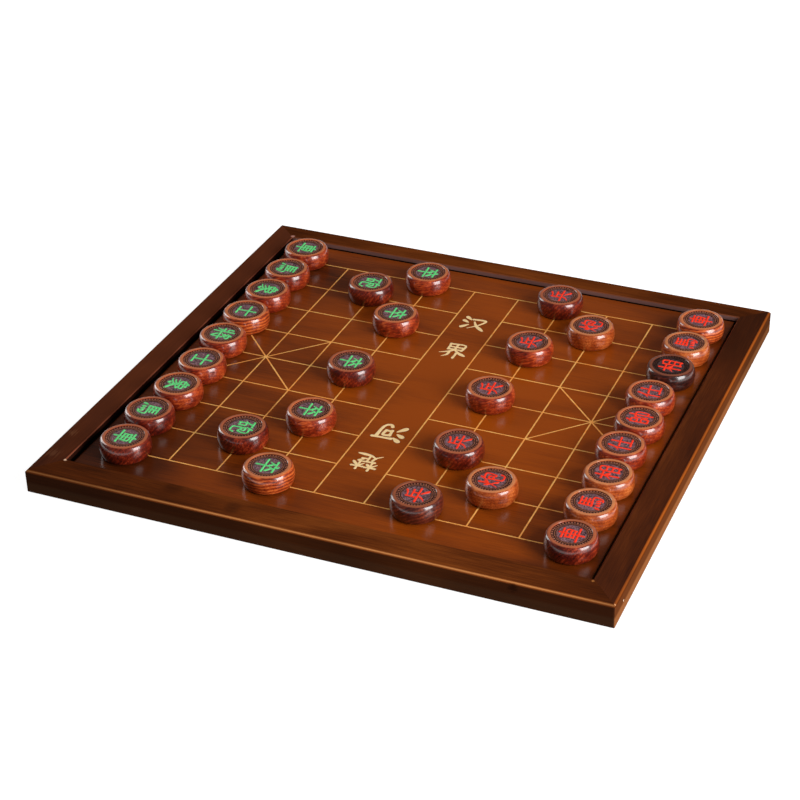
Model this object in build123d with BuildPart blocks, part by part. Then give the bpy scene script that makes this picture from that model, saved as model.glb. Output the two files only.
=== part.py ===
from build123d import *
import os
from math import atan2, degrees, hypot

# A framed board for Chinese chess (xiangqi) with its thirty-two turned pieces set out for
# the first move. All sizes are millimetres. The origin is the middle of the underside,
# +X runs along the long front rail, +Y goes to the back and +Z is up. The green side
# sits at the left (-X) and the red side at the right (+X).

# ---------------------------------------------------------------- driving dimensions
# The grid: ten rank lines run front to back, nine file lines run left to right.
rank_lines = 10
file_lines = 9
rank_pitch = 48.5            # between neighbouring rank lines; the river is one pitch wide
file_pitch = 50.0            # between neighbouring file lines
line_width = 1.5
line_depth = 0.6             # how deep the lines are engraved
line_fill_below = 0.1        # the light filling stops this far under the panel's face
river_gap = 4                # the river lies between rank lines 4 and 5
palace_files = (3, 5)        # first and last file line of a palace
palace_depth = 2             # a palace is two ranks deep
grid_shift_x = 1.4           # the grid lies this far right of the frame's middle
grid_shift_y = 1.3           # and this far to the back of it

# The frame of four mitred rails.
margin_x = 33.5              # outermost rank line to the rail's inner face
margin_y = 38.0              # outermost file line to the rail's inner face
rail_width = 27.3
rail_height = 24.9           # at the inner edge, where the rail is highest
rail_fall = 1.5              # the rail's top slopes down by this much to its outer edge
recess_depth = 5.5           # the panel's face lies this far below the rails' inner edge
outer_chamfer = 2.4          # bevel round the top outer edge
foot_chamfer = 0.6           # bevel round the bottom outer edge
inner_bevel = 0.9            # bevel on the top inner edge
corner_round = 1.6           # the four upright outer corners

# The playing panel, tongued into the rails so that it can swell and shrink.
panel_thickness = 8.0
tongue_thickness = 4.0
tongue_reach = 6.0           # how far the tongue enters the rail
tongue_end_gap = 0.5
tongue_top_gap = 0.2
reveal_x = 4.0               # open joint between panel and side rails
reveal_y = 1.5               # open joint between panel and front or back rail
panel_arris = 0.5            # bevel round the panel's top edge

# The plywood back, let into a rebate under the rails.
backing_thickness = 3.0
backing_inset = 0.5          # the back lies this far above the rails' underside
rebate_width = 10.0
backing_edge_gap = 0.4

# Battens glued across between the back and the panel.
batten_count = 3
batten_spacing = 150.0
batten_width = 30.0
batten_end_gap = 2.0

# A loose spline keys each mitre.
spline_length = 18.0         # along the mitre
spline_span = 14.0           # across the mitre, half in each rail
spline_thickness = 3.0
spline_above_groove = 1.8    # wood left between the panel groove and the spline slot
spline_gap = 0.25            # at the ends and sides of the slot
spline_top_gap = 0.1

# Countersunk screws hold the back to the rails.
screw_head_radius = 2.9
screw_head_height = 1.5
screw_shank_radius = 1.5
screw_tip_cover = 1.8        # wood left between a screw's tip and the panel's groove
screw_sink = 0.2             # the head lies this far inside the back's face
screw_gap = 0.05             # round the shank and head
screw_slot_radius = 0.9
screw_slot_depth = 0.7
long_rail_screws = 3
side_rail_screws = 2
long_rail_screw_spacing = 200.0
side_rail_screw_spacing = 260.0

# The pieces: turned drums with a bellied side and a sunk, carved face.
piece_diameter = 48.0
piece_height = 18.5
piece_edge_radius = 21.6     # of the top and bottom edges before they are rounded over
piece_edge_round = 3.0
face_radius = 18.0           # of the sunk face
face_depth = 1.2
face_bevel = 0.3
ring_height = 0.5            # the raised rings on the face
inner_ring_radius = 13.4
inner_ring_width = 0.8
outer_ring_radius = 16.4
outer_ring_width = 0.7

# ------------------------------------------------------------------- derived places
grid_x = (rank_lines - 1) * rank_pitch
grid_y = (file_lines - 1) * file_pitch
opening_x = grid_x + 2 * margin_x
opening_y = grid_y + 2 * margin_y
board_x = opening_x + 2 * rail_width
board_y = opening_y + 2 * rail_width
panel_top = rail_height - recess_depth
panel_bottom = panel_top - panel_thickness
tongue_top = panel_bottom + tongue_thickness
groove_top = tongue_top + tongue_top_gap
groove_reach = tongue_reach + tongue_end_gap
backing_top = backing_inset + backing_thickness
batten_height = panel_bottom - backing_top
slot_bottom = groove_top + spline_above_groove
slot_height = spline_thickness + spline_top_gap
screw_inset = rebate_width / 2     # screws stand this far outside the rail's inner face
screw_length = panel_bottom - screw_tip_cover - backing_inset - screw_sink
outer_top = rail_height - rail_fall
mitre_overrun = 5.0                # the mitre cutter passes the wood by this much

os.makedirs("parts", exist_ok=True)


def rank_x(rank):
    """X of a rank line, counted from the left."""
    return grid_shift_x + (rank - (rank_lines - 1) / 2) * rank_pitch


def file_y(file):
    """Y of a file line, counted from the front."""
    return grid_shift_y + (file - (file_lines - 1) / 2) * file_pitch


def finish(part, name):
    """Label a finished piece and write it to its own file."""
    part.label = name
    export_step(part, f"parts/{name}.step")
    print(f"{name}: {len(part.solids())} solid(s), {part.volume:.0f} mm3")


# ---------------------------------------------------------------------- screw places
screw_places = []
for side in (-1, 1):
    for i in range(long_rail_screws):
        along = (i - (long_rail_screws - 1) / 2) * long_rail_screw_spacing
        screw_places.append((along, side * (opening_y / 2 + screw_inset)))
    for i in range(side_rail_screws):
        along = (i - (side_rail_screws - 1) / 2) * side_rail_screw_spacing
        screw_places.append((side * (opening_x / 2 + screw_inset), along))

mitre_places = [
    (sx * (board_x - rail_width) / 2, sy * (board_y - rail_width) / 2, 45 * sx * sy)
    for sx in (-1, 1)
    for sy in (-1, 1)
]

# ------------------------------------------------------------------------- the frame
# The four rails are first cut as one ring, so that every bevel, groove and rebate runs
# true through the corners, and the ring is then parted along its mitres.
with BuildPart() as frame_ring:
    with BuildSketch(Plane.XY):
        Rectangle(board_x, board_y)
    extrude(amount=outer_top)
    chamfer(frame_ring.faces().sort_by(Axis.Z)[-1].edges(), length=outer_chamfer)
    chamfer(frame_ring.faces().sort_by(Axis.Z)[0].edges(), length=foot_chamfer)
    fillet(frame_ring.edges().filter_by(Axis.Z), radius=corner_round)
    # the top rises a little from the bevel to the opening
    with BuildSketch(Plane.XY.offset(outer_top)):
        Rectangle(board_x - 2 * outer_chamfer, board_y - 2 * outer_chamfer)
    with BuildSketch(Plane.XY.offset(rail_height)):
        Rectangle(opening_x, opening_y)
    loft()
    # the opening, with its small bevel at the top
    with BuildSketch(Plane.XY):
        Rectangle(opening_x, opening_y)
    extrude(amount=rail_height, mode=Mode.SUBTRACT)
    with BuildSketch(Plane.XY.offset(rail_height - inner_bevel)):
        Rectangle(opening_x, opening_y)
    with BuildSketch(Plane.XY.offset(rail_height)):
        Rectangle(opening_x + 2 * inner_bevel, opening_y + 2 * inner_bevel)
    loft(mode=Mode.SUBTRACT)
    # the groove that holds the panel's tongue
    with BuildSketch(Plane.XY.offset(panel_bottom)):
        Rectangle(opening_x + 2 * groove_reach, opening_y + 2 * groove_reach)
    extrude(amount=groove_top - panel_bottom, mode=Mode.SUBTRACT)
    # the rebate for the back
    with BuildSketch(Plane.XY):
        Rectangle(opening_x + 2 * rebate_width, opening_y + 2 * rebate_width)
    extrude(amount=backing_top, mode=Mode.SUBTRACT)
    # slots for the mitre splines
    for x, y, turn in mitre_places:
        with BuildSketch(Plane.XY.offset(slot_bottom)):
            with Locations((x, y)):
                Rectangle(spline_length + 2 * spline_gap, spline_span + 2 * spline_gap, rotation=turn)
        extrude(amount=slot_height, mode=Mode.SUBTRACT)
    # pilot holes for the back's screws
    with BuildSketch(Plane.XY.offset(backing_top)):
        with Locations(*screw_places):
            Circle(screw_shank_radius + screw_gap)
    extrude(amount=backing_inset + screw_sink + screw_length + screw_gap - backing_top, mode=Mode.SUBTRACT)


def rail(name, outer_corners):
    """Part one rail from the ring. outer_corners are the signs of its two corners."""
    reach = rail_width + mitre_overrun
    with BuildPart() as piece:
        add(frame_ring.part)
        with BuildSketch(Plane.XY):
            with BuildLine():
                outer = [
                    (sx * (board_x / 2 + mitre_overrun), sy * (board_y / 2 + mitre_overrun))
                    for sx, sy in outer_corners
                ]
                inner = [
                    (sx * (board_x / 2 - reach), sy * (board_y / 2 - reach))
                    for sx, sy in reversed(outer_corners)
                ]
                Polyline(*outer, *inner, close=True)
            make_face()
        extrude(amount=rail_height, mode=Mode.INTERSECT)
    finish(piece.part, name)


rail("rail_front", [(-1, -1), (1, -1)])
rail("rail_right", [(1, -1), (1, 1)])
rail("rail_back", [(1, 1), (-1, 1)])
rail("rail_left", [(-1, 1), (-1, -1)])

# --------------------------------------------------------------------- mitre splines
with BuildPart() as corner_splines:
    for x, y, turn in mitre_places:
        with BuildSketch(Plane.XY.offset(slot_bottom)):
            with Locations((x, y)):
                Rectangle(spline_length, spline_span, rotation=turn)
        extrude(amount=spline_thickness)
finish(corner_splines.part, "corner_splines")

# ------------------------------------------------------------------ the playing grid
# One sketch serves both the engraving in the panel and its light filling.
with BuildSketch() as grid_lines:
    for rank in range(rank_lines):
        with Locations((rank_x(rank), file_y((file_lines - 1) / 2))):
            Rectangle(line_width, grid_y + line_width)
    for file in (0, file_lines - 1):
        with Locations((rank_x((rank_lines - 1) / 2), file_y(file))):
            Rectangle(grid_x, line_width)
    for first, last in ((0, river_gap), (river_gap + 1, rank_lines - 1)):
        for file in range(1, file_lines - 1):
            with Locations(((rank_x(first) + rank_x(last)) / 2, file_y(file))):
                Rectangle((last - first) * rank_pitch, line_width)
    palace_x = palace_depth * rank_pitch
    palace_y = (palace_files[1] - palace_files[0]) * file_pitch
    palace_slope = degrees(atan2(palace_y, palace_x))
    for rank in (palace_depth / 2, rank_lines - 1 - palace_depth / 2):
        for slope in (palace_slope, -palace_slope):
            with Locations((rank_x(rank), file_y(sum(palace_files) / 2))):
                Rectangle(hypot(palace_x, palace_y), line_width, rotation=slope)

with BuildPart() as playing_panel:
    with BuildSketch(Plane.XY.offset(panel_bottom)):
        Rectangle(opening_x + 2 * tongue_reach, opening_y + 2 * tongue_reach)
    extrude(amount=tongue_thickness)
    with BuildSketch(Plane.XY.offset(tongue_top)):
        Rectangle(opening_x - 2 * reveal_x, opening_y - 2 * reveal_y)
    extrude(amount=panel_top - tongue_top)
    chamfer(playing_panel.faces().sort_by(Axis.Z)[-1].edges(), length=panel_arris)
    with BuildSketch(Plane.XY.offset(panel_top - line_depth)):
        add(grid_lines.sketch)
    extrude(amount=line_depth, mode=Mode.SUBTRACT)
finish(playing_panel.part, "playing_panel")

with BuildPart() as grid_filling:
    with BuildSketch(Plane.XY.offset(panel_top - line_depth)):
        add(grid_lines.sketch)
    extrude(amount=line_depth - line_fill_below)
finish(grid_filling.part, "grid_filling")

# -------------------------------------------------------------- back, battens, screws
with BuildPart() as backing_board:
    with BuildSketch(Plane.XY.offset(backing_inset)):
        Rectangle(
            opening_x + 2 * (rebate_width - backing_edge_gap),
            opening_y + 2 * (rebate_width - backing_edge_gap),
        )
    extrude(amount=backing_thickness)
    for x, y in screw_places:
        with BuildSketch(Plane.XY.offset(backing_inset)):
            with Locations((x, y)):
                Circle(screw_shank_radius + screw_gap)
        extrude(amount=backing_thickness, mode=Mode.SUBTRACT)
        with BuildSketch(Plane.XY.offset(backing_inset)):
            with Locations((x, y)):
                Circle(screw_head_radius + screw_gap)
        extrude(amount=screw_sink, mode=Mode.SUBTRACT)
        with BuildSketch(Plane.XY.offset(backing_inset + screw_sink)):
            with Locations((x, y)):
                Circle(screw_head_radius + screw_gap)
        with BuildSketch(Plane.XY.offset(backing_inset + screw_sink + screw_head_height)):
            with Locations((x, y)):
                Circle(screw_shank_radius + screw_gap)
        loft(mode=Mode.SUBTRACT)
finish(backing_board.part, "backing_board")

for i in range(batten_count):
    batten_x = (i - (batten_count - 1) / 2) * batten_spacing
    with BuildPart() as batten:
        with BuildSketch(Plane.XY.offset(backing_top)):
            with Locations((batten_x, 0)):
                Rectangle(batten_width, opening_y - 2 * batten_end_gap)
        extrude(amount=batten_height)
    finish(batten.part, f"batten_{i + 1}")

with BuildPart() as backing_screws:
    head_bottom = backing_inset + screw_sink
    for x, y in screw_places:
        with BuildSketch(Plane.XY.offset(head_bottom)):
            with Locations((x, y)):
                Circle(screw_head_radius)
        with BuildSketch(Plane.XY.offset(head_bottom + screw_head_height)):
            with Locations((x, y)):
                Circle(screw_shank_radius)
        loft()
        with BuildSketch(Plane.XY.offset(head_bottom + screw_head_height)):
            with Locations((x, y)):
                Circle(screw_shank_radius)
        extrude(amount=screw_length - screw_head_height)
        with BuildSketch(Plane.XY.offset(head_bottom)):
            with Locations((x, y)):
                RegularPolygon(screw_slot_radius, 6)
        extrude(amount=screw_slot_depth, mode=Mode.SUBTRACT)
finish(backing_screws.part, "backing_screws")

# ------------------------------------------------------------------------- the pieces
# The side is one arc from edge to edge through the belly. The face is sunk inside a
# plain rim, with two raised rings that frame the carving.
face_floor = piece_height - face_depth


def turned_piece(name, rank, file, right, back):
    """One piece near its point: set off it to the right and to the back by hand."""
    with BuildPart() as piece:
        x, y = rank_x(rank) + right, file_y(file) + back
        with BuildSketch(Plane((x, y, panel_top), x_dir=(1, 0, 0), z_dir=(0, -1, 0))):
            with BuildLine():
                Polyline((0, piece_height), (0, 0), (piece_edge_radius, 0))
                ThreePointArc(
                    (piece_edge_radius, 0),
                    (piece_diameter / 2, piece_height / 2),
                    (piece_edge_radius, piece_height),
                )
                Line((piece_edge_radius, piece_height), (0, piece_height))
            make_face()
        revolve(axis=Axis((x, y, 0), (0, 0, 1)))
        rims = piece.edges().filter_by(GeomType.CIRCLE).group_by(SortBy.RADIUS)[-1]
        fillet(rims, radius=piece_edge_round)
        with BuildSketch(Plane.XY.offset(panel_top + face_floor)):
            with Locations((x, y)):
                Circle(face_radius)
        extrude(amount=face_depth, mode=Mode.SUBTRACT)
        with BuildSketch(Plane.XY.offset(panel_top + piece_height - face_bevel)):
            with Locations((x, y)):
                Circle(face_radius)
        with BuildSketch(Plane.XY.offset(panel_top + piece_height)):
            with Locations((x, y)):
                Circle(face_radius + face_bevel)
        loft(mode=Mode.SUBTRACT)
        for radius, width in ((inner_ring_radius, inner_ring_width), (outer_ring_radius, outer_ring_width)):
            with BuildSketch(Plane.XY.offset(panel_top + face_floor)):
                with Locations((x, y)):
                    Circle(radius + width)
                    Circle(radius, mode=Mode.SUBTRACT)
            extrude(amount=ring_height)
    finish(piece.part, name)


# Each entry: name, rank line, file line, and how far the player set it off its point.
green_pieces = [
    ("chariot_front", 0, 0, 6.5, -3),
    ("horse_front", 0, 1, 3.5, -2.5),
    ("elephant_front", 0, 2, 7, -3),
    ("advisor_front", 0, 3, 6, -3),
    ("general", 0, 4, 2, -1),
    ("advisor_back", 0, 5, 2.5, -0.5),
    ("elephant_back", 0, 6, 2.5, -1),
    ("horse_back", 0, 7, 1.5, -2),
    ("chariot_back", 0, 8, 0.5, -2.5),
    ("cannon_front", 2, 1, 2, 1),
    ("cannon_back", 2, 7, -0.5, 0.5),
    ("soldier_1", 3, 0, 4, 0.5),
    ("soldier_2", 3, 2, -0.5, 0.5),
    ("soldier_3", 3, 4, -1.7, -5),
    ("soldier_4", 3, 6, 1, -0.5),
    ("soldier_5", 3, 8, -1.5, -7.5),
]
red_pieces = [
    ("chariot_front", 9, 0, -0.5, -1.5),
    ("horse_front", 9, 1, 0, -0.5),
    ("minister_front", 9, 2, 0, -0.5),
    ("officer_front", 9, 3, -3.5, -2),
    ("marshal", 9, 4, -1, -3.5),
    ("officer_back", 9, 5, -5, -5),
    ("minister_back", 9, 6, -0.5, -1.5),
    ("horse_back", 9, 7, 1, -3),
    ("chariot_back", 9, 8, 2.5, -3.5),
    ("cannon_front", 7, 1, 4.5, 1),
    ("cannon_back", 7, 7, 0, -4.5),
    ("soldier_1", 6, 0, -0.5, 6),
    ("soldier_2", 6, 2, 3, -1.5),
    ("soldier_3", 6, 4, -3.5, -3),
    ("soldier_4", 6, 6, 2, -7),
    ("soldier_5", 6, 8, -1, -5.5),
]
for colour, pieces in (("green", green_pieces), ("red", red_pieces)):
    for name, rank, file, right, back in pieces:
        turned_piece(f"{colour}_{name}", rank, file, right, back)
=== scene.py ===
# %% [markdown]
# # A board for Chinese chess, set out for the first move
#
# The frame, the panel and the thirty-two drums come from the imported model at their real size. This
# lesson dresses them: it gives the woods their stain and lacquer, turns the drums again with finer
# curves and their carved faces, and lays the paint. Everything is in metres, so a size in
# millimetres is written as a number times MM.

# %% Open the frame
from math import atan2, cos, hypot, pi, radians, sin

import bmesh
import bpy
from mathutils import Matrix, Vector


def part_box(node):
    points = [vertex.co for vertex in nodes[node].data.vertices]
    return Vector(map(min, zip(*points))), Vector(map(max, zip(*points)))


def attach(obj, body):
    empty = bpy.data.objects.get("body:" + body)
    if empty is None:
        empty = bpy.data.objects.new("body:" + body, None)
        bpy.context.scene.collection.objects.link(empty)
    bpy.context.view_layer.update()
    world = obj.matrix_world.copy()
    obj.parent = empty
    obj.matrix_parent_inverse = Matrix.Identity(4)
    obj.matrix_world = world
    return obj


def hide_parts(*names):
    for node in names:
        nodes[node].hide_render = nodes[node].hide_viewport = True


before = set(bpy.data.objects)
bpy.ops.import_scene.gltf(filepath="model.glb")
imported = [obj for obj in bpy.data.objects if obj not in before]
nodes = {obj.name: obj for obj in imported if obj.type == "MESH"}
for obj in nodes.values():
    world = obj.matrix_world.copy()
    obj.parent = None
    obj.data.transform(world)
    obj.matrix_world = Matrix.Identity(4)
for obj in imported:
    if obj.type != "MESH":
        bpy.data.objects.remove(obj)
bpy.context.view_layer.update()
MM = 0.001
print(len(nodes), "nodes in the frame")

# %% [markdown]
# ## Where the parts stand
#
# The frame answers every question of place. The panel's upper face is the floor of the game, the
# top of a drum gives its height, and the middle of a drum's box is its axis.

# %% Read the places from the frame
panel_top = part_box("playing_panel")[1].z
board_half_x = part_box("rail_right")[1].x
board_half_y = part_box("rail_back")[1].y
grid_low, grid_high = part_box("grid_filling")
grid_middle = (grid_low + grid_high) / 2
piece_names = [name for name in nodes if name.startswith(("green_", "red_"))]
print(f"{len(piece_names)} drums stand on a panel {panel_top / MM:.1f} mm up")

# %% [markdown]
# ## The camera
#
# The photograph is taken with a long lens from the front right, well above the table. A camera is
# placed most plainly by the point that it looks at, its two angles and its distance. The view is
# shifted sideways, because the picture was cropped off centre.

# %% Place the camera
aim = Vector((54.8 * MM, -0.9 * MM, panel_top))
camera_azimuth = radians(21.03)     # to the right of straight in front
camera_elevation = radians(31.6)
camera_distance = 1888.3 * MM
picture_width = 800                 # pixels
principal_point_x = 475             # pixels from the left edge
focal_length = 1972.9               # pixels
sensor_width = 36                   # the lens is given in millimetres on this width

camera_data = bpy.data.cameras.new("camera")
camera_data.sensor_width = sensor_width
camera_data.lens = focal_length / picture_width * sensor_width
camera_data.shift_x = (picture_width / 2 - principal_point_x) / picture_width
camera = bpy.data.objects.new("camera", camera_data)
direction = Vector((
    sin(camera_azimuth) * cos(camera_elevation),
    -cos(camera_azimuth) * cos(camera_elevation),
    sin(camera_elevation),
))
camera.location = aim + direction * camera_distance
camera.rotation_euler = (-direction).to_track_quat("-Z", "Y").to_euler()
bpy.context.scene.collection.objects.link(camera)
bpy.context.scene.camera = camera
print(f"lens {camera_data.lens:.1f} mm, camera {camera.location.z:.2f} m up")

# %% [markdown]
# ## Nodes in one line each
#
# A material is a small graph. One helper adds a node, sets its settings and joins its inputs, so
# that each material below reads as a list of what it is made of. Colours are written as the hex
# values that a picture shows and turned to linear light here.

# %% Helpers for colours and materials
def colour(hex_value):
    """An sRGB hex colour as linear red, green, blue and alpha."""
    channels = [int(hex_value[i:i + 2], 16) / 255 for i in (1, 3, 5)]
    return [c / 12.92 if c <= 0.04045 else ((c + 0.055) / 1.055) ** 2.4 for c in channels] + [1]


def add(material, kind, settings=None, links=None):
    """Add a node. Settings name its properties or sockets, and links name sockets and sources."""
    tree = material.node_tree
    node = tree.nodes.new(kind)
    for name, value in (settings or {}).items():
        if name == "ramp":
            ramp = node.color_ramp
            while len(ramp.elements) < len(value):
                ramp.elements.new(1)
            for element, (place, hex_value) in zip(ramp.elements, value):
                element.position = place
                element.color = colour(hex_value)
        elif isinstance(name, str) and hasattr(node, name):
            setattr(node, name, value)
        else:
            node.inputs[name].default_value = value
    for name, source in (links or {}).items():
        tree.links.new(source, node.inputs[name])
    return node


def new_material(name, surface_settings):
    """A material with a Principled surface, and that surface node."""
    material = bpy.data.materials.new(name)
    material.use_nodes = True
    material.node_tree.nodes.clear()
    surface = add(material, "ShaderNodeBsdfPrincipled", surface_settings)
    add(material, "ShaderNodeOutputMaterial", links={"Surface": surface.outputs[0]})
    return material, surface


def paint(name, material):
    """Give a CAD node its one material."""
    slots = nodes[name].data.materials
    slots.clear()
    slots.append(material)


# Sockets of the Mix node in its colour form.
FACTOR, FIRST, SECOND, RESULT = 0, 6, 7, 2
print("helpers ready")

# %% [markdown]
# ## Stained and lacquered wood
#
# The rails and the panel are a plain pale wood under a dark brown stain and a satin lacquer. Three
# things show: long faint streaks of grain, broad clouds where the stain took more or less, and
# edges where use has taken the stain off down to the orange wood, with a painted highlight along
# the middle of each bevel. The streaks are noise that is drawn out along the grain. The edges are
# found by the slant of the surface: only the bevels face upwards at 45 degrees. A painted pool of
# light makes the middle of the board brighter than its corners, so the tone, and the highlight on
# the edges, fall with the distance from there. The walls round the sunk field carry painted light:
# black shade on the side rails and in the open joint, a purple sheen on the front and back rails.
# The rails' outer faces have a lighter tone of their own, which is painted light too. Wide patches
# of painted light and shade lie under the walls and bevels, and knots, scuffs and chips over all
# that. Grain finer than a pixel is drawn at about 1 mm, so that it shows.

# %% Sizes of the grain and of the worn places
streak_width = 1.1 * MM
streak_length = 32 * MM
cloud_width = 38 * MM
cloud_length = 150 * MM
# The painted pool of light: the tone is brighter round this point and falls off with the distance.
light_pool_middle = (45 * MM, 15 * MM, 0)
light_pool_shape = (1, 0.75, 0)      # the painted pool of light is longer along Y, and height doesn't count
light_pool_reach = 330 * MM
streak_share = 0.8               # how much streaks, clouds and the painted pool of light add to the tone
cloud_share = 0.95
light_pool_share = 0.75
darkest_total = 0.7              # the sum that gives the darkest and the lightest tone
lightest_total = 1.5
edge_zone = 7 * MM               # the outer bevels lie within this of the board's edge
bevel_low = 21.0 * MM            # the outer bevel's lower and upper arris
bevel_high = 23.4 * MM
band_low = 9 * MM                # where the painted light on the rails' outer faces turns darker
band_high = 12 * MM
gap_shade_depth = 1.1 * MM             # painted shade fills the open joint up to this far above the panel
face_light_share = 0.7                 # how much of their own tint the outer faces, the inner walls
wall_light_share = 0.9                 # and the inner bevels show
inner_edge_share = 0.7
print(f"streaks are {streak_length / streak_width:.0f} times as long as wide")

# %% One patch of another tint
def spotted(material, place, streaks, below, spot):
    """Lay one round patch of another tint over a colour. The grain can make its edge ragged."""
    centre, radius, ragged, tint, strength = spot
    distance = add(material, "ShaderNodeVectorMath",
                   {"operation": "DISTANCE", 1: [c * MM for c in centre]}, {0: place.outputs["Object"]})
    reach = add(material, "ShaderNodeMath", {"operation": "MULTIPLY_ADD", 1: -ragged * radius * MM},
                {0: streaks.outputs["Fac"], 2: distance.outputs["Value"]})
    patch = add(
        material, "ShaderNodeMapRange",
        {"From Min": radius * MM * (1.2 - ragged / 2), "From Max": radius * MM * (0.7 - ragged / 2),
         "To Max": strength},
        {"Value": reach.outputs[0]},
    )
    mixed = add(material, "ShaderNodeMix", {"data_type": "RGBA", SECOND: colour(tint)},
                {FACTOR: patch.outputs[0], FIRST: below})
    return mixed.outputs[RESULT]


print("patches ready")

# %% The stained wood
def stained_wood(name, grain_along_x, tones, edge, inner_edge, wall_light_and_shade, face, shades, spots, roughness, gloss):
    """Dark stained wood whose grain runs along X or Y. Edge and face are ramps from low to high."""
    material, surface = new_material(name, {"Roughness": roughness, "Specular IOR Level": gloss})
    place = add(material, "ShaderNodeTexCoord")
    fine = (streak_length, streak_width, streak_width)
    broad = (cloud_length, cloud_width, cloud_width)
    if not grain_along_x:
        fine = (streak_width, streak_length, streak_width)
        broad = (cloud_width, cloud_length, cloud_width)
    fine_place = add(material, "ShaderNodeMapping", {"Scale": [1 / size for size in fine]},
                     {"Vector": place.outputs["Object"]})
    streaks = add(material, "ShaderNodeTexNoise", {"Scale": 1.0, "Detail": 6.0, "Roughness": 0.7},
                  {"Vector": fine_place.outputs[0]})
    broad_place = add(material, "ShaderNodeMapping", {"Scale": [1 / size for size in broad]},
                      {"Vector": place.outputs["Object"]})
    clouds = add(material, "ShaderNodeTexNoise", {"Scale": 1.0, "Detail": 3.0, "Distortion": 0.6},
                 {"Vector": broad_place.outputs[0]})

    # The tone adds up the streaks, the clouds and the painted pool of light round the middle.
    moved = add(material, "ShaderNodeMapping",
                {"Location": [-c * s for c, s in zip(light_pool_middle, light_pool_shape)], "Scale": light_pool_shape},
                {"Vector": place.outputs["Object"]})
    from_middle = add(material, "ShaderNodeVectorMath", {"operation": "LENGTH"}, {0: moved.outputs[0]})
    light_pool = add(material, "ShaderNodeMapRange", {"From Min": light_pool_reach, "From Max": 0},
                 {"Value": from_middle.outputs["Value"]})
    total = add(material, "ShaderNodeMath", {"operation": "MULTIPLY", 1: streak_share},
                {0: streaks.outputs["Fac"]})
    total = add(material, "ShaderNodeMath", {"operation": "MULTIPLY_ADD", 1: cloud_share},
                {0: clouds.outputs["Fac"], 2: total.outputs[0]})
    total = add(material, "ShaderNodeMath", {"operation": "MULTIPLY_ADD", 1: light_pool_share},
                {0: light_pool.outputs[0], 2: total.outputs[0]})
    tone = add(material, "ShaderNodeMapRange", {"From Min": darkest_total, "From Max": lightest_total},
               {"Value": total.outputs[0]})
    ramp = add(material, "ShaderNodeValToRGB", {"ramp": tones}, {"Fac": tone.outputs[0]})

    # Where a point is: on a bevel, on an upright face, and near the board's outer edge.
    normal = add(material, "ShaderNodeSeparateXYZ", links={"Vector": place.outputs["Normal"]})
    position = add(material, "ShaderNodeSeparateXYZ", links={"Vector": place.outputs["Object"]})
    slant = add(material, "ShaderNodeMath", {"operation": "SUBTRACT", 1: cos(pi / 4)},
                {0: normal.outputs["Z"]})
    slant = add(material, "ShaderNodeMath", {"operation": "ABSOLUTE"}, {0: slant.outputs[0]})
    on_bevel = add(material, "ShaderNodeMapRange", {"From Min": 0.2, "From Max": 0.05},
                   {"Value": slant.outputs[0]})
    slope = add(material, "ShaderNodeMath", {"operation": "ABSOLUTE"}, {0: normal.outputs["Z"]})
    upright = add(material, "ShaderNodeMapRange", {"From Min": 0.4, "From Max": 0.2},
                  {"Value": slope.outputs[0]})
    near = []
    for axis, half in (("X", board_half_x), ("Y", board_half_y)):
        aside = add(material, "ShaderNodeMath", {"operation": "ABSOLUTE"}, {0: position.outputs[axis]})
        near.append(add(material, "ShaderNodeMapRange",
                        {"From Min": half - edge_zone, "From Max": half - edge_zone + MM},
                        {"Value": aside.outputs[0]}))
    outside = add(material, "ShaderNodeMath", {"operation": "MAXIMUM"},
                  {0: near[0].outputs[0], 1: near[1].outputs[0]})
    inside = add(material, "ShaderNodeMath", {"operation": "SUBTRACT", "use_clamp": True},
                 {0: upright.outputs[0], 1: outside.outputs[0]})

    # How much of each layer shows there.
    on_face = add(material, "ShaderNodeMath", {"operation": "MULTIPLY"},
                  {0: upright.outputs[0], 1: outside.outputs[0]})
    on_face = add(material, "ShaderNodeMath", {"operation": "MULTIPLY", 1: face_light_share},
                  {0: on_face.outputs[0]})
    on_wall = add(material, "ShaderNodeMath", {"operation": "MULTIPLY", 1: wall_light_share},
                  {0: inside.outputs[0]})
    inner_bevel = add(material, "ShaderNodeMath", {"operation": "SUBTRACT", "use_clamp": True},
                      {0: on_bevel.outputs[0], 1: outside.outputs[0]})
    inner_bevel = add(material, "ShaderNodeMath", {"operation": "MULTIPLY", 1: inner_edge_share},
                      {0: inner_bevel.outputs[0]})
    patchy = add(material, "ShaderNodeMapRange", {"From Min": -0.1, "From Max": 0.45},
                 {"Value": clouds.outputs["Fac"]})
    # The painted highlight on the bevels also falls off with the painted pool of light.
    light_pool_fade = add(material, "ShaderNodeMapRange", {"From Min": -0.12, "From Max": 0.2},
                 {"Value": light_pool.outputs[0]})
    wear_and_highlight = on_bevel
    for share in (patchy, light_pool_fade, outside):
        wear_and_highlight = add(material, "ShaderNodeMath", {"operation": "MULTIPLY", "use_clamp": True},
                   {0: wear_and_highlight.outputs[0], 1: share.outputs[0]})
    gap_top = panel_top + gap_shade_depth
    low = add(material, "ShaderNodeMapRange", {"From Min": gap_top, "From Max": gap_top - MM},
              {"Value": position.outputs["Z"]})
    gap_shade = add(material, "ShaderNodeMath", {"operation": "MULTIPLY"},
                 {0: low.outputs[0], 1: inside.outputs[0]})
    # Painted light over the outer faces' height, and wear with a painted highlight over the bevels' height.
    ramps = []
    for stops, low_end, high_end in ((face, band_low, band_high), (edge, bevel_low, bevel_high)):
        height = add(material, "ShaderNodeMapRange", {"From Min": low_end, "From Max": high_end},
                     {"Value": position.outputs["Z"]})
        ramps.append(add(material, "ShaderNodeValToRGB", {"ramp": stops}, {"Fac": height.outputs[0]}))
    face_light_ramp, wear_highlight_ramp = ramps

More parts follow.
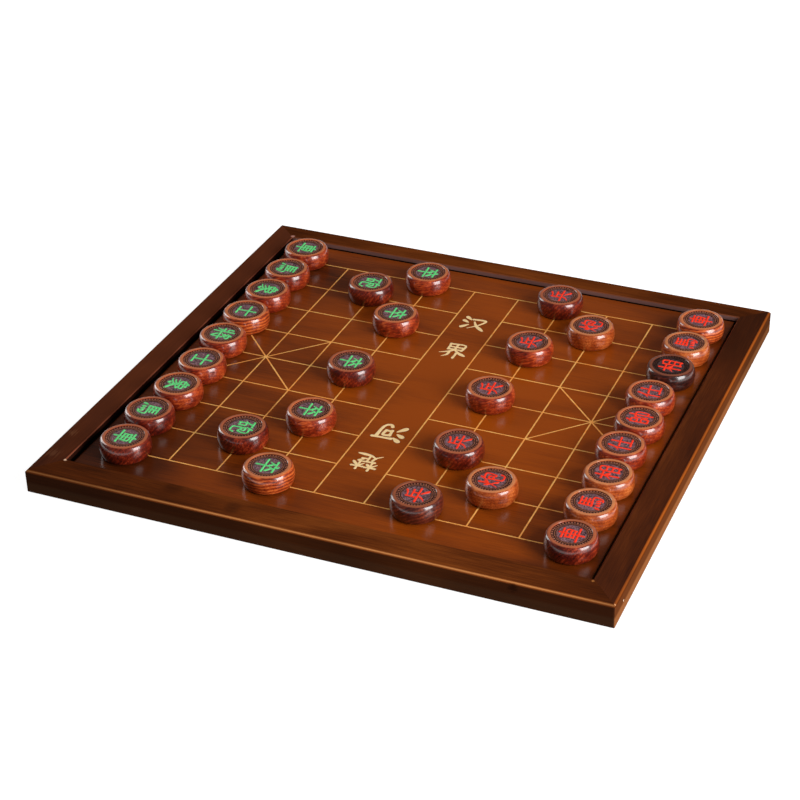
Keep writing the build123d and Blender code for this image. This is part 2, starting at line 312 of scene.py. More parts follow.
    # The layers, from the lowest to the top one.
    mixed = add(material, "ShaderNodeMix", {"data_type": "RGBA"},
                {FACTOR: on_face.outputs[0], FIRST: ramp.outputs["Color"],
                 SECOND: face_light_ramp.outputs["Color"]})
    coloured = mixed.outputs[RESULT]
    # Wide patches of painted light and shade.
    for shade in shades:
        coloured = spotted(material, place, streaks, coloured, shade)
    # The inner walls' painted sheen and painted shade, then the inner bevels' own tint.
    for amount, tint in ((on_wall, wall_light_and_shade), (inner_bevel, inner_edge)):
        mixed = add(material, "ShaderNodeMix", {"data_type": "RGBA", SECOND: colour(tint)},
                    {FACTOR: amount.outputs[0], FIRST: coloured})
        coloured = mixed.outputs[RESULT]
    # The bevels' wear, with a painted highlight along the middle of each bevel.
    mixed = add(material, "ShaderNodeMix", {"data_type": "RGBA"},
                {FACTOR: wear_and_highlight.outputs[0], FIRST: coloured, SECOND: wear_highlight_ramp.outputs["Color"]})
    # Painted shade in the open joint just above the panel.
    mixed = add(material, "ShaderNodeMix", {"data_type": "RGBA", SECOND: colour("#070302")},
                {FACTOR: gap_shade.outputs[0], FIRST: mixed.outputs[RESULT]})
    coloured = mixed.outputs[RESULT]
    for spot in spots:
        coloured = spotted(material, place, streaks, coloured, spot)
    material.node_tree.links.new(coloured, surface.inputs["Base Color"])
    bump = add(material, "ShaderNodeBump", {"Strength": 0.12, "Distance": 0.12 * MM},
               {"Height": streaks.outputs["Fac"]})
    material.node_tree.links.new(bump.outputs[0], surface.inputs["Normal"])
    return material


print("stain ready")

# %% The rails and the panel
# Knots are dark, scuffs are pale and ragged, and chips are pale and small. Shades are wide patches
# of painted light and shade, and lie under the walls and bevels: a painted sheen on the left rail,
# painted shade at the back of the right rail's outer face and in three corners of the panel. In
# millimetres.
rail_spots = [
    # centre, radius, how ragged, tint, strength
    ((-139, -242, 24.2), 9, 4, "#1a0c0a", 0.4),
    ((-76, -253, 24.2), 7, 4, "#1e0f0b", 0.4),
    ((190, -265, 18), 4, 4, "#0a0505", 0.5),
    ((-272, -195, 24), 4, 9, "#8a5c3e", 0.3),
    ((-268, -232, 24), 5, 9, "#7a5038", 0.3),
    ((279, -241.5, 12.3), 1.0, 1, "#ffe0c0", 1.0),
    ((277.8, -262, 22.3), 0.9, 1, "#d8a070", 0.7),
    ((-251.8, -239, 24.9), 1.6, 1, "#e0b898", 0.9),
    ((251.9, -241, 24.9), 1.2, 1, "#c07c40", 0.6),
    ((-252.5, 240, 24.9), 2.2, 1, "#c89080", 0.8),
]
side_rail_sheen_and_shade = [
    ((284, 235, 8), 100, 1, "#26140c", 0.4),
    ((-266, 80, 24), 330, 0, "#904b2f", 0.24),
]
panel_shades = [
    ((-225, -225, 19.4), 75, 2, "#260e05", 0.6),
    ((235, -215, 19.4), 45, 2, "#2c1006", 0.5),
    ((225, 190, 19.4), 50, 2, "#4c1e08", 0.4),
]
# From the lower to the upper arris of a bevel: wear, with a painted highlight along its middle.
front_wear_and_highlight = [(0, "#3a1a0c"), (0.3, "#8c481f"), (0.6, "#dc9456"), (0.85, "#9c5628"), (1, "#5a2c14")]
side_wear_and_highlight = [(0, "#4a2008"), (0.5, "#a0521c"), (1, "#5c280c")]
rail_tones = [(0, "#2a130b"), (0.5, "#5a2a10"), (1, "#88451a")]
side_tones = [(0, "#2c1610"), (0.5, "#4c2412"), (1, "#6a3416")]
# The second hex colour of each wood is its inner walls' painted light: a purple sheen on the front and back
# rails, and black shade on the side rails.
rail_wood_x = stained_wood(
    "stained_rail_wood_lengthways", True, rail_tones, front_wear_and_highlight, "#7a4630", "#7e5c56",
    [(0, "#4c3222"), (1, "#422416")], [], rail_spots, roughness=0.5, gloss=0.0,
)
# In both rail woods the ramp after the walls' colour is painted light on the outer faces, lightest low down
# on the side rails.
rail_wood_y = stained_wood(
    "stained_rail_wood_crossways", False, side_tones, side_wear_and_highlight, "#8a4a34", "#24100b",
    [(0, "#a0643a"), (1, "#6e3c1e")], side_rail_sheen_and_shade, rail_spots, roughness=0.5, gloss=0.0,
)
# The panel's upright edges, in the joint under the rails, are painted nearly black as shade.
panel_wood = stained_wood(
    "lacquered_panel_wood", True, [(0, "#3a1808"), (0.5, "#7a350a"), (1, "#9a450a")],
    side_wear_and_highlight, "#7a441e", "#0a0403", [(0, "#3a1a0c"), (1, "#3a1a0c")], panel_shades, [],
    roughness=0.22, gloss=0.3,
)
paint("rail_front", rail_wood_x)
paint("rail_back", rail_wood_x)
paint("rail_left", rail_wood_y)
paint("rail_right", rail_wood_y)
paint("playing_panel", panel_wood)
print("rails and panel are stained")

# %% [markdown]
# ## Plain woods, the line filling and the screws
#
# The back is thin birch plywood, seen only from below, and the battens and splines are pale
# beech inside the board. The engraved lines hold a tan paint that has dried a little uneven.

# %% The quiet finishes
def quiet_finish(name, low, high, grain, surface_settings):
    """A finish of two near tones. Grain gives the size of its pattern along X, Y and Z."""
    material, surface = new_material(name, surface_settings)
    place = add(material, "ShaderNodeTexCoord")
    sized = add(material, "ShaderNodeMapping", {"Scale": [1 / g for g in grain]},
                {"Vector": place.outputs["Object"]})
    noise = add(material, "ShaderNodeTexNoise", {"Scale": 1.0, "Detail": 5.0, "Roughness": 0.55},
                {"Vector": sized.outputs[0]})
    ramp = add(material, "ShaderNodeValToRGB", {"ramp": [(0.3, low), (0.7, high)]},
               {"Fac": noise.outputs["Fac"]})
    material.node_tree.links.new(ramp.outputs[0], surface.inputs["Base Color"])
    height = add(material, "ShaderNodeBump", {"Strength": 0.15, "Distance": 0.1 * MM},
                 {"Height": noise.outputs["Fac"]})
    material.node_tree.links.new(height.outputs[0], surface.inputs["Normal"])
    return material


line_paint = quiet_finish("tan_line_paint", "#fa9840", "#ffc670", (9 * MM, 9 * MM, 3 * MM),
                          {"Roughness": 0.45, "Specular IOR Level": 0.3})
plywood = quiet_finish("birch_plywood", "#a8794b", "#c49a68", (1.5 * MM, 60 * MM, 1.5 * MM),
                       {"Roughness": 0.7})
beech = quiet_finish("planed_beech", "#b5834f", "#cfa06c", (1 * MM, 30 * MM, 1 * MM),
                     {"Roughness": 0.65})
zinc = quiet_finish("zinc_plated_steel", "#a9a79a", "#c4c2b8", (0.4 * MM, 0.4 * MM, 4 * MM),
                    {"Roughness": 0.35, "Metallic": 1.0})
paint("grid_filling", line_paint)
paint("backing_board", plywood)
for name in ("corner_splines", "batten_1", "batten_2", "batten_3"):
    paint(name, beech)
paint("backing_screws", zinc)
print("back, battens, lines and screws are finished")

# %% [markdown]
# ## Rosewood
#
# The drums are turned from rosewood and polished. Its colour runs from orange through red brown to
# nearly black between pieces, and in some pieces in bands where the tree's growth was darker. Fine
# dark and bright flecks lie all over it. The rim is the end of a clean cut and looks lighter, and its
# colour also holds a painted highlight, so the colour is blended by height: only the rim reaches the
# top. One function makes every tone.

# %% The rosewood tones
band_width = 3.4 * MM
fleck_size = 0.9 * MM
fleck_stretch = 9.0
fleck_share = 1.5                # how much the flecks add to the tone
rim_and_highlight_share = 0.7                  # how much of the rim's lighter colour, with its painted highlight, shows
cloud_size = 11 * MM
piece_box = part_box("green_general")
piece_top = piece_box[1].z
piece_radius = (piece_box[1].x - piece_box[0].x) / 2


def rosewood(name, dark, middle, light, rim, bands, tilt):
    """Polished rosewood. Bands is how strongly the growth bands show and tilt how they lean."""
    material, surface = new_material(
        name,
        {"Roughness": 0.34, "Specular IOR Level": 0.3, "Coat Weight": 0.85, "Coat Roughness": 0.14,
         "Coat IOR": 1.64},
    )
    place = add(material, "ShaderNodeTexCoord")
    turned = add(material, "ShaderNodeMapping", {"Rotation": tilt}, {"Vector": place.outputs["Object"]})
    wave = add(
        material, "ShaderNodeTexWave",
        {"bands_direction": "Z", "Scale": 1 / band_width / 3, "Distortion": 4.0, "Detail": 2.0,
         "Detail Scale": 0.9, "Detail Roughness": 0.5},
        {"Vector": turned.outputs[0]},
    )
    clouds = add(material, "ShaderNodeTexNoise", {"Scale": 1 / cloud_size, "Detail": 2.0},
                 {"Vector": turned.outputs[0]})
    fleck_place = add(material, "ShaderNodeMapping", {"Scale": (1 / fleck_stretch, 1, 1)},
                      {"Vector": turned.outputs[0]})
    flecks = add(material, "ShaderNodeTexNoise", {"Scale": 1 / fleck_size, "Detail": 2.5, "Roughness": 0.7},
                 {"Vector": fleck_place.outputs[0]})
    total = add(material, "ShaderNodeMath", {"operation": "MULTIPLY_ADD", 1: bands},
                {0: wave.outputs["Fac"], 2: clouds.outputs["Fac"]})
    total = add(material, "ShaderNodeMath", {"operation": "MULTIPLY_ADD", 1: fleck_share},
                {0: flecks.outputs["Fac"], 2: total.outputs[0]})
    spread = add(material, "ShaderNodeMapRange",
                 {"From Min": 0.8 + 0.3 * bands, "From Max": 1.7 + 0.7 * bands}, {"Value": total.outputs[0]})
    body = add(material, "ShaderNodeValToRGB", {"ramp": [(0.05, dark), (0.5, middle), (1.0, light)]},
               {"Fac": spread.outputs[0]})
    position = add(material, "ShaderNodeSeparateXYZ", links={"Vector": place.outputs["Object"]})
    # The rim's lighter colour, which holds a painted highlight.
    on_rim = add(
        material, "ShaderNodeMapRange",
        {"From Min": piece_top - 0.5 * MM, "From Max": piece_top - 0.1 * MM, "To Max": rim_and_highlight_share},
        {"Value": position.outputs["Z"]},
    )
    coloured = add(material, "ShaderNodeMix", {"data_type": "RGBA", SECOND: colour(rim)},
                   {FACTOR: on_rim.outputs[0], FIRST: body.outputs["Color"]})
    material.node_tree.links.new(coloured.outputs[RESULT], surface.inputs["Base Color"])
    bump = add(material, "ShaderNodeBump", {"Strength": 0.05, "Distance": 0.1 * MM},
               {"Height": flecks.outputs["Fac"]})
    material.node_tree.links.new(bump.outputs[0], surface.inputs["Normal"])
    return material


tones = {
    "red": rosewood("rosewood_red_brown", "#2c0a04", "#8a260f", "#e0642c", "#dc8250", 0.12, (0.5, 0.3, 0)),
    "deep": rosewood("rosewood_deep_red", "#180404", "#601409", "#b84420", "#c87048", 0.15, (0.2, 0.9, 0.4)),
    "orange": rosewood("rosewood_orange", "#561a0a", "#a84616", "#e08040", "#dc8e5c", 0.15, (0.25, 0.1, 0.8)),
    "striped": rosewood("rosewood_striped", "#3c1006", "#a83c16", "#ea7a36", "#dc8654", 0.55, (0.12, 0.1, 0)),
    "dark": rosewood("rosewood_dark", "#140605", "#501b13", "#984428", "#b0603c", 0.25, (0.3, 0.5, 0)),
    "black": rosewood("rosewood_nearly_black", "#100505", "#32120d", "#702f20", "#98543a", 0.2,
                      (0.1, 0.2, 0)),
}
piece_tones = {
    "red_cannon_front": "orange", "red_cannon_back": "orange", "red_horse_front": "orange",
    "red_horse_back": "orange", "red_minister_front": "orange",
    "red_chariot_back": "striped", "green_soldier_1": "striped", "green_advisor_back": "striped",
    "green_chariot_front": "deep", "green_horse_front": "deep", "green_cannon_front": "deep",
    "green_cannon_back": "deep", "green_soldier_3": "deep", "red_chariot_front": "deep",
    "red_soldier_2": "deep", "red_soldier_5": "deep",
    "red_soldier_1": "dark", "red_minister_back": "black",
}                                # every other piece is red
print(len(tones), "tones of rosewood")

# %% [markdown]
# ## The carved face
#
# Inside the rim the face is cut down and textured with a fine gouge, and its floor keeps a dull
# purple brown. Round the border, among the raised rings and blocks, the floor is painted nearly
# black as shade. What stands up from it has been touched by the sanding block and is lighter.

# %% The carved field
gouge_width = 1.2 * MM


def carved_face(name, low, high, roughness):
    """A dull surface of dark cuts and lighter ridges."""
    material, surface = new_material(name, {"Roughness": roughness, "Specular IOR Level": 0.3})
    place = add(material, "ShaderNodeTexCoord")
    gouges = add(material, "ShaderNodeTexNoise", {"Scale": 1 / gouge_width, "Detail": 3.0, "Roughness": 0.8},
                 {"Vector": place.outputs["Object"]})
    tone = add(material, "ShaderNodeValToRGB", {"ramp": [(0.42, low), (0.62, high)]},
               {"Fac": gouges.outputs["Fac"]})
    material.node_tree.links.new(tone.outputs["Color"], surface.inputs["Base Color"])
    bump = add(material, "ShaderNodeBump", {"Strength": 0.6, "Distance": 0.25 * MM},
               {"Height": gouges.outputs["Fac"]})
    material.node_tree.links.new(bump.outputs[0], surface.inputs["Normal"])
    return material


# The border's floor among the raised rings and blocks: painted shade.
groove_shade = carved_face("groove_painted_shade", "#140807", "#301413", 0.6)
gouged = carved_face("gouged_rosewood", "#1e0c0f", "#a87c84", 0.5)
gouged_black = carved_face("gouged_dark_rosewood", "#0c0809", "#6e5458", 0.5)
ridges = carved_face("sanded_carving", "#80402e", "#c88468", 0.45)
ridges_black = carved_face("sanded_dark_carving", "#2c1613", "#6a4436", 0.45)
print("the faces are carved")

# %% [markdown]
# ## Turning a drum
#
# A drum is a lathe job, so it is made as one: half of its outline is drawn as a chain of edges and
# spun once round. The outline follows the solid's own sizes, and only the two raised rings are set
# closer in, to leave room for the border. The side is one arc through the belly, and arcs round the
# edges over. Then forty small blocks are set round the face as that border, where the carver cut
# dashes. One drum is made at the origin and copied to all thirty-two places.

# %% The drum's outline
piece_height = piece_top - panel_top
face_floor = piece_top - 1.2 * MM
carving_height = 0.5 * MM
edge_radius = 21.6 * MM
edge_round = 3.0 * MM
face_radius = 18.0 * MM
rim_bevel = 0.3 * MM
outer_ring = (15.0 * MM, 14.2 * MM)   # outer and inner radius of each raised ring
inner_ring = (13.5 * MM, 13.0 * MM)
floor_circle = 12.6 * MM         # one more circle of points on the floor inside the rings
turn_steps = 112


def arc(centre, radius, start, end, steps):
    """Points on an arc in the outline's plane. Angles are in radians from straight outwards."""
    angles = [start + (end - start) * i / steps for i in range(steps + 1)]
    return [(centre[0] + radius * cos(a), centre[1] + radius * sin(a)) for a in angles]


half_height = piece_height / 2
belly = piece_radius - edge_radius                      # how far the side swells out
side_curve = (half_height ** 2 + belly ** 2) / (2 * belly)
side_centre = (piece_radius - side_curve, half_height)
# The rounding touches the flat top from below and the side's arc from inside.
round_height = piece_height - edge_round
round_centre_x = side_centre[0] + (
    (side_curve - edge_round) ** 2 - (round_height - side_centre[1]) ** 2
) ** 0.5
lean = atan2(round_height - side_centre[1], round_centre_x - side_centre[0])
foot_round = arc((round_centre_x, edge_round), edge_round, -pi / 2, -lean, 7)
side = arc(side_centre, side_curve, -lean, lean, 14)
top_round = arc((round_centre_x, round_height), edge_round, lean, pi / 2, 7)
ring_low = face_floor - panel_top
ring_high = ring_low + carving_height
ring_edge = 0.1 * MM


def ring(outer, inner):
    """The outline of one raised ring with softened edges."""
    return [
        (outer, ring_low), (outer - ring_edge, ring_high), (inner + ring_edge, ring_high), (inner, ring_low),
    ]


outline = (
    [(0, 0)] + foot_round + side[1:-1] + top_round
    + [(face_radius + rim_bevel, piece_height), (face_radius, piece_height - rim_bevel)]
    + [(face_radius, ring_low)]
    + ring(*outer_ring) + ring(*inner_ring)
    + [(floor_circle, ring_low), (0, ring_low)]
)
print(f"outline of {len(outline)} points, foot radius {foot_round[0][0] / MM:.1f} mm")

# %% Turn it and set the border
border_count = 40
border_radius = 16.7 * MM
block_length = 1.8 * MM          # from the middle outwards
block_width = 1.3 * MM
block_bevel = 0.14 * MM
block_sink = 0.1 * MM            # a block starts this far under the floor
sharp_angle = radians(40)
field_radius = 12.8 * MM
SIDE, FIELD, CARVING, GROOVE_SHADE = 0, 1, 2, 3   # material slots of a drum


def turned_drum():
    """One drum at the origin, standing on z = 0."""
    bm = bmesh.new()
    verts = [bm.verts.new((x, 0, z)) for x, z in outline]
    edges = [bm.edges.new(pair) for pair in zip(verts, verts[1:])]
    bmesh.ops.spin(bm, geom=verts + edges, cent=(0, 0, 0), axis=(0, 0, 1), angle=2 * pi,
                   steps=turn_steps, use_merge=True)
    bmesh.ops.remove_doubles(bm, verts=bm.verts, dist=0.001 * MM)
    for i in range(border_count):
        turn = Matrix.Rotation(2 * pi * i / border_count, 4, "Z")
        lift = Matrix.Translation((border_radius, 0, ring_low + (carving_height - block_sink) / 2))
        size = Matrix.Diagonal((block_length, block_width, carving_height + block_sink, 1))
        block = bmesh.ops.create_cube(bm, size=1, matrix=turn @ lift @ size)
        top = {e for v in block["verts"] for e in v.link_edges
               if all(w.co.z > ring_low + carving_height / 2 for w in e.verts)}
        bmesh.ops.bevel(bm, geom=list(top), offset=block_bevel, segments=1, profile=0.5,
                        affect="EDGES", material=-1)
    bmesh.ops.recalc_face_normals(bm, faces=bm.faces)
    for face in bm.faces:
        face.smooth = True
        middle = face.calc_center_median()
        radius = hypot(middle.x, middle.y)
        if radius > face_radius - 0.02 * MM or middle.z < half_height:
            face.material_index = SIDE
        elif middle.z > ring_low + 0.6 * carving_height:
            face.material_index = CARVING
        else:
            # The floor round the border takes the painted shade, and the field inside keeps its own colour.
            face.material_index = GROOVE_SHADE if radius > field_radius else FIELD
    for edge in bm.edges:
        edge.smooth = edge.calc_face_angle(0) < sharp_angle
    mesh = bpy.data.meshes.new("drum")
    bm.to_mesh(mesh)
    bm.free()
    return mesh


drum = turned_drum()
print(len(drum.polygons), "faces on a drum")

# %% [markdown]
# ## The marks
#
# Each drum carries the mark of its rank, the same on every set, as the numbers are on a dial, and
# four words stand in the river. They are brushed here stroke by stroke. A stroke is a short line
# of points on a square 100 wide and 100 high, written "x,y x,y", and a letter for the way that the
# brush moves: b is a bar of even weight, s sweeps off to a point, p presses down towards its end,
# d is a dot and t is a teardrop. A smooth curve goes through the points, and the paint stands up
# round as a bead.

# %% The strokes
che = "b 22,84 78,87|b 27,70 29,38|b 27,70 74,72 72,38|b 29,55 71,56|b 29,40 71,41|b 8,23 92,27|b 50,97 50,2"
ma = ("b 29,92 27,43|b 29,90 76,93|b 52,90 51,45|b 29,75 72,76|b 28,60 72,61|b 27,43 84,47 80,14 67,8|"
      "d 19,28 12,8|d 34,28 37,13|d 49,29 54,15|d 63,31 70,18")
xiang = ("s 43,98 24,76|b 40,90 64,91 55,79|b 24,76 27,58|b 24,76 77,78 73,60|b 27,59 72,61|b 50,77 48,60|"
         "s 50,60 36,50 12,43|b 42,55 55,44 57,22 49,4 40,9|s 49,44 34,33 16,25|s 53,32 36,18 12,8|"
         "s 80,54 58,41|p 56,40 70,22 94,7")
shi = "b 10,61 90,66|b 50,97 50,13|b 25,12 77,14"
jiang = ("b 31,96 31,3|b 12,86 13,66 30,68|b 7,46 30,48|s 20,46 18,28 8,10|s 63,97 46,74|"
         "s 60,88 86,86 68,62 44,47|d 57,78 66,71|d 53,67 61,60|b 41,38 95,42|b 77,57 77,8 66,14|"
         "d 52,30 60,19")
bao = "s 62,97 46,66|b 56,84 91,85 87,46 79,44|b 57,66 74,67 73,50 58,50|b 57,66 57,18 64,9 90,10 95,25"
pao_green = "b 6,86 43,88|s 27,86 21,66 6,48|b 18,53 19,23|b 18,53 38,55 37,26|b 20,27 37,28|" + bao
pao_red = "d 11,68 17,54|d 41,76 34,62|s 26,94 25,54 7,12|p 27,40 43,20|" + bao
zu = ("d 47,98 55,87|b 14,81 87,84|s 37,77 20,50|d 34,68 47,54|s 67,79 52,54|d 64,70 84,52|b 8,35 93,39|"
      "b 50,54 50,1")
xiang_red = ("b 6,69 47,71|b 28,96 28,4|s 28,67 20,48 5,32|d 30,60 45,43|b 58,87 58,9|b 58,86 88,88 87,9|"
             "b 59,64 86,65|b 59,40 86,41|b 59,14 86,15")
shi_red = "s 33,97 24,70 5,48|b 23,66 23,3|b 39,57 96,62|b 67,94 67,13|b 45,11 92,14"
shuai = ("s 31,98 22,83|b 18,81 18,8|b 18,80 41,82 40,57|b 19,56 40,57|b 19,37 42,39 41,11|b 19,10 41,11|"
         "b 54,70 54,20|b 54,70 92,72 91,25 81,23|b 73,97 73,1")
bing = ("s 72,96 58,89 36,84|b 34,87 32,44|b 34,66 79,69|b 63,66 62,45|b 4,41 96,45|s 39,33 30,19 13,6|"
        "p 60,33 88,7")
water = "t 5,94 26,78|t 1,65 22,54|t 6,14 28,40"
han = water + "|s 34,83 84,85 68,46 32,10|p 44,66 62,36 96,8"
jie = ("b 24,93 26,55|b 24,92 77,94 75,56|b 50,92 50,57|b 26,74 74,75|b 26,57 74,58|s 49,55 30,37 5,24|"
       "p 51,55 70,38 96,25|s 37,35 35,16 21,1|b 64,35 63,1")
he = water + "|b 33,85 97,88|b 44,68 46,39|b 44,68 67,70 65,42|b 46,42 65,43|b 85,86 84,38 77,13 62,7 54,17"
chu = ("b 8,80 46,82|b 28,98 28,53|s 27,79 8,56|d 30,77 43,63|b 54,80 93,82|b 72,98 72,55|s 71,79 54,58|"
       "d 74,77 94,57|b 22,46 80,49 68,36|b 51,47 51,12|b 51,29 73,31|s 34,37 28,19 8,2|p 27,23 50,9 96,5")
marks = {
    "green_chariot": che, "green_horse": ma, "green_elephant": xiang, "green_advisor": shi,
    "green_general": jiang, "green_cannon": pao_green, "green_soldier": zu,
    "red_chariot": che, "red_horse": ma, "red_minister": xiang_red, "red_officer": shi_red,
    "red_marshal": shuai, "red_cannon": pao_red, "red_soldier": bing,
}
brush_weights = {
    "b": (1.05, 0.85, 0.8, 0.85, 1.0),
    "s": (1.05, 1.0, 0.85, 0.6, 0.3),
    "p": (0.6, 0.8, 1.1, 1.45, 0.8),
    "d": (0.6, 0.9, 1.2, 1.25, 0.9),
    "t": (1.3, 1.45, 1.15, 0.8, 0.45),
}
print(len(marks), "marks to brush")

# %% The brush
curve_steps = 6                  # between two points of a stroke
cap_steps = 4                    # round each end
cap_angles = [pi / 2 * (k + 0.25) / (cap_steps + 0.25) for k in range(cap_steps)]
bead_profile = ((-1.0, 0.0), (-0.9, 0.55), (-0.5, 0.92), (0.0, 1.0), (0.5, 0.92), (0.9, 0.55), (1.0, 0.0))


def smooth_line(points):
    """A curve through all the points, with each corner eased over its neighbours."""
    line = []
    padded = [points[0]] + points + [points[-1]]
    for a, b, c, d in zip(padded, padded[1:], padded[2:], padded[3:]):
        for i in range(curve_steps):
            t = i / curve_steps
            line.append(b + ((c - a) * t * 0.5 + (2 * a - 5 * b + 4 * c - d) * t * t * 0.5
                             + (3 * b - a - 3 * c + d) * t ** 3 * 0.5))
    return line + [points[-1]]


def weight_at(weights, t):
    """The brush's weight at a share t of the stroke."""
    spot = t * (len(weights) - 1)
    first = min(int(spot), len(weights) - 2)
    return weights[first] + (weights[first + 1] - weights[first]) * (spot - first)


def brushed(strokes, size, width, thickness):
    """A mark as a mesh: its middle at the origin, its underside at z = 0, its top towards +Y."""
    bm = bmesh.new()
    for stroke in strokes.split("|"):
        kind, *pairs = stroke.split(" ")
        points = [Vector([(float(v) - 50) / 100 * size for v in pair.split(",")]) for pair in pairs]
        line = smooth_line(points)
        rows = []
        for i, point in enumerate(line):
            ahead = (line[min(i + 1, len(line) - 1)] - line[max(i - 1, 0)]).normalized()
            rows.append((point, ahead, width / 2 * weight_at(brush_weights[kind], i / (len(line) - 1))))
        start, ahead, half = rows[0]
        lead = [(start - ahead * half * cos(a), ahead, half * sin(a)) for a in cap_angles]
        end, ahead, half = rows[-1]
        tail = [(end + ahead * half * cos(a), ahead, half * sin(a)) for a in reversed(cap_angles)]
        previous = None
        for point, ahead, half in lead + rows + tail:
            aside = Vector((-ahead.y, ahead.x))
            height = thickness * min(1, half / (width * 0.4))
            ring_verts = [bm.verts.new((*(point + aside * half * a), height * h)) for a, h in bead_profile]
            if previous:
                for k in range(len(bead_profile) - 1):
                    bm.faces.new((previous[k], previous[k + 1], ring_verts[k + 1], ring_verts[k]))
            previous = ring_verts
    bmesh.ops.recalc_face_normals(bm, faces=bm.faces)
    for face in bm.faces:
        face.smooth = True
    mesh = bpy.data.meshes.new("mark")
    bm.to_mesh(mesh)
    bm.free()
    return mesh


mark_size = 22.5 * MM
mark_width = 2.3 * MM            # of the brush
mark_height = 0.5 * MM
mark_sink = 0.05 * MM            # the paint starts this far under the carved floor
mark_meshes = {
    rank: brushed(strokes, mark_size, mark_width, mark_height) for rank, strokes in marks.items()
}
print(len(mark_meshes), "marks brushed")

# %% The marks' paint
def mark_paint(name, low, high):
    """Thick enamel: two near tones, a little brush texture and a soft shine."""
    return quiet_finish(name, low, high, (0.8 * MM, 0.8 * MM, 0.8 * MM),
                        {"Roughness": 0.45, "Specular IOR Level": 0.25})


green_paint = mark_paint("green_enamel", "#44c462", "#80f09a")
red_paint = mark_paint("red_enamel", "#fa2008", "#ff4a2c")
river_paint = mark_paint("cream_river_paint", "#ffcc82", "#ffe8b6")
river_edge = quiet_finish("scorched_edge", "#4a210c", "#5c2a10", (2 * MM, 2 * MM, 2 * MM), {"Roughness": 0.6})
print("paints mixed")

# %% Set out the thirty-two pieces
quarter_turn = {"green": Matrix.Rotation(-pi / 2, 4, "Z"), "red": Matrix.Rotation(pi / 2, 4, "Z")}


def place_mesh(name, mesh, matrix, body, *materials):
    """Copy a mesh to its place as a new object that rides on a body."""
    own = mesh.copy()
    own.name = name
    own.transform(matrix)
    for material in materials:
        own.materials.append(material)
    thing = bpy.data.objects.new(name, own)
    bpy.context.scene.collection.objects.link(thing)
    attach(thing, body)
    return thing


for name in piece_names:
    low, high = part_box(name)
    middle = (low + high) / 2
    foot = Matrix.Translation((middle.x, middle.y, panel_top))
    tone = piece_tones.get(name, "red")
    dark_face = tone == "black"
    face_materials = (gouged_black, ridges_black, groove_shade) if dark_face else (gouged, ridges, groove_shade)
    turned = place_mesh(f"{name}_turned", drum, foot, f"{name}_body", tones[tone], *face_materials)
    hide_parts(name)
    side_name = name.split("_")[0]
    rank = next(r for r in marks if name.startswith(r))
    on_face = Matrix.Translation((middle.x, middle.y, face_floor - mark_sink)) @ quarter_turn[side_name]
    mark = place_mesh(f"{name}_mark", mark_meshes[rank], on_face, f"{name}_body",
                      green_paint if side_name == "green" else red_paint)
print(len(piece_names), "pieces set out")

# %% [markdown]
# ## The river
#
# Four words stand in the river, two for each side, cut into the panel and filled with cream paint.
# The cutter leaves a thin dark edge. Each word is a low bead of paint that lies in the panel's
# face, over a slightly wider dark one.

# %% The river words
river_words = [
    # name, strokes, size and width of the brush in mm, place along the river, turned half round
    ("outer_back", han, 26, 3.2, 135.8, False), ("inner_back", jie, 28.5, 3.1, 78.2, False),
    ("inner_front", he, 28.5, 3.8, -84.3, True), ("outer_front", chu, 27, 2.7, -138.3, True),
]
word_height = 0.12 * MM
edge_height = 0.05 * MM
edge_margin = 0.6                # mm that the dark edge is wider than the word's paint
word_sink = 0.02 * MM            # both start this far under the panel's face
for name, strokes, size, width, along, turned_round in river_words:
    spot = Matrix.Translation((grid_middle.x, grid_middle.y + along * MM, panel_top - word_sink))
    place = spot @ Matrix.Rotation(pi if turned_round else 0, 4, "Z")
    word_mesh = brushed(strokes, size * MM, width * MM, word_height)
    word = place_mesh(f"river_word_{name}", word_mesh, place, "board", river_paint)
    edge_mesh = brushed(strokes, size * MM, (width + edge_margin) * MM, edge_height)
    edge = place_mesh(f"river_word_edge_{name}", edge_mesh, place, "board", river_edge)
print(len(river_words), "words in the river")

# %% [markdown]
# ## The studio
#
# The board lies on a wide plain floor. Seen by the camera, or mirrored, its middle is nearly white
# by itself, and further out it falls to grey, because the drums mirror it near the horizon. For the
# light that it throws on the wood the floor is only a mid grey, as a darker table would be. The
# object's shadow still falls on it.

# %% The floor
floor_radius = 6.0
white_reach = 1.15               # the floor is white this far from its middle
grey_reach = 1.6
floor_middle = (-0.2, 0.35)      # under the part of the floor that the camera sees
floor_gap = 0.05 * MM            # the floor lies this far under the rails

bm = bmesh.new()
bmesh.ops.create_circle(bm, cap_ends=True, segments=96, radius=floor_radius,
                        matrix=Matrix.Translation((*floor_middle, -floor_gap)))
floor_mesh = bpy.data.meshes.new("studio_floor")
bm.to_mesh(floor_mesh)
bm.free()
floor = bpy.data.objects.new("studio_floor", floor_mesh)
bpy.context.scene.collection.objects.link(floor)

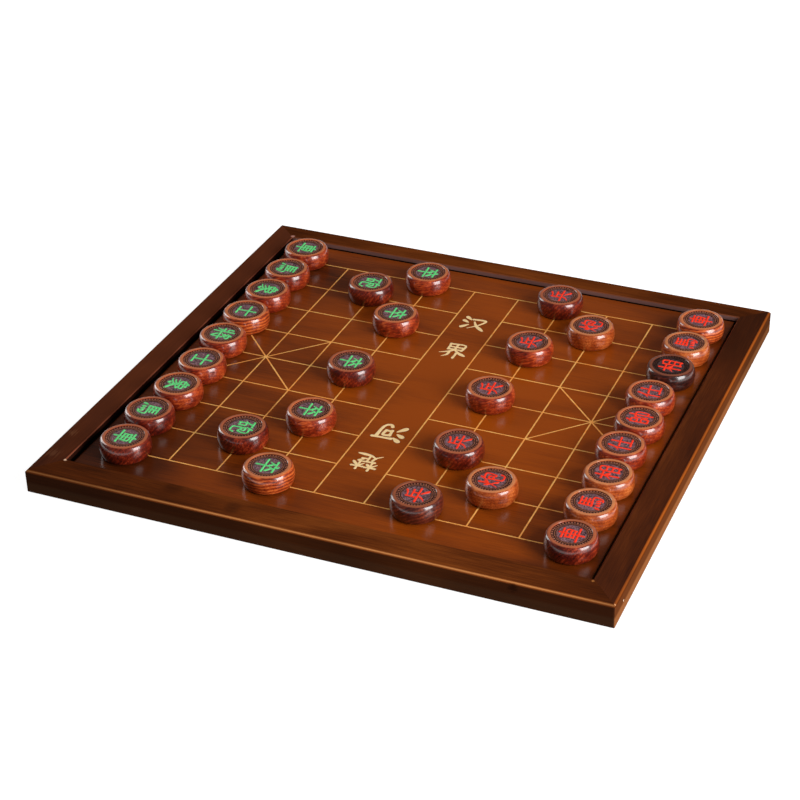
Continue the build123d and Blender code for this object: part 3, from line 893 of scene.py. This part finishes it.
paper = bpy.data.materials.new("pale_paper")
paper.use_nodes = True
paper.node_tree.nodes.clear()
ray = add(paper, "ShaderNodeLightPath")
seen = add(paper, "ShaderNodeMath", {"operation": "MAXIMUM"},
           {0: ray.outputs["Is Camera Ray"], 1: ray.outputs["Is Glossy Ray"]})
seen_or_through = add(paper, "ShaderNodeMath", {"operation": "MAXIMUM"},
                      {0: seen.outputs[0], 1: ray.outputs["Is Transmission Ray"]})
grey = add(paper, "ShaderNodeBsdfDiffuse", {"Color": (0.25, 0.25, 0.25, 1)})
shaded = add(paper, "ShaderNodeBsdfDiffuse", {"Color": (0.5, 0.5, 0.5, 1)})
floor_place = add(paper, "ShaderNodeTexCoord")
from_floor_middle = add(paper, "ShaderNodeVectorMath", {"operation": "DISTANCE", 1: (*floor_middle, 0)},
                        {0: floor_place.outputs["Object"]})
strength = add(paper, "ShaderNodeMapRange", {"interpolation_type": "SMOOTHSTEP", "From Min": grey_reach,
                                             "From Max": white_reach, "To Max": 0.8},
               {"Value": from_floor_middle.outputs["Value"]})
glow = add(paper, "ShaderNodeEmission", {"Color": (1, 1, 1, 1)}, {"Strength": strength.outputs[0]})
white = add(paper, "ShaderNodeAddShader", links={0: shaded.outputs[0], 1: glow.outputs[0]})
floor_shader = add(paper, "ShaderNodeMixShader",
                   links={0: seen_or_through.outputs[0], 1: grey.outputs[0], 2: white.outputs[0]})
add(paper, "ShaderNodeOutputMaterial", links={"Surface": floor_shader.outputs[0]})
floor_mesh.materials.append(paper)
print(f"white out to {white_reach} m")

# %% [markdown]
# ## The light
#
# The polish of the drums shows where the photographer's lights stood. A large soft box stands low on
# the right and a little in front, and draws the white streak on each drum. A narrower one stands low
# on the left and behind. The front gets little light, so the front face stays dark. A fill overhead
# keeps the panel from going black. It isn't mirrored, because the photograph shows no third box in
# the polish.

# %% The lamps
def softbox(name, azimuth, elevation, distance, size, power, mirrored=True):
    """A rectangular lamp that faces the board. Azimuth counts from the front to the right."""
    lamp = bpy.data.lights.new(name, "AREA")
    lamp.shape = "RECTANGLE"
    lamp.size, lamp.size_y = size
    lamp.energy = power
    thing = bpy.data.objects.new(name, lamp)
    a, e = radians(azimuth), radians(elevation)
    towards = Vector((sin(a) * cos(e), -cos(a) * cos(e), sin(e)))
    thing.location = towards * distance
    thing.rotation_euler = towards.to_track_quat("Z", "Y").to_euler()
    thing.visible_glossy = mirrored
    bpy.context.scene.collection.objects.link(thing)
    return thing


softbox("box_right", azimuth=72, elevation=22, distance=2.4, size=(1.4, 1.75), power=80)
softbox("box_left", azimuth=-107, elevation=24, distance=2.4, size=(0.95, 1.5), power=21)
softbox("fill_overhead", azimuth=0, elevation=86, distance=1.8, size=(1.2, 1.2), power=6, mirrored=False)

world = bpy.data.worlds.new("studio")
bpy.context.scene.world = world
world.use_nodes = True
world.node_tree.nodes["Background"].inputs["Color"].default_value = (1, 1, 1, 1)
world.node_tree.nodes["Background"].inputs["Strength"].default_value = 0.08
bpy.context.scene.view_settings.view_transform = "Standard"
print("three boxes of light")
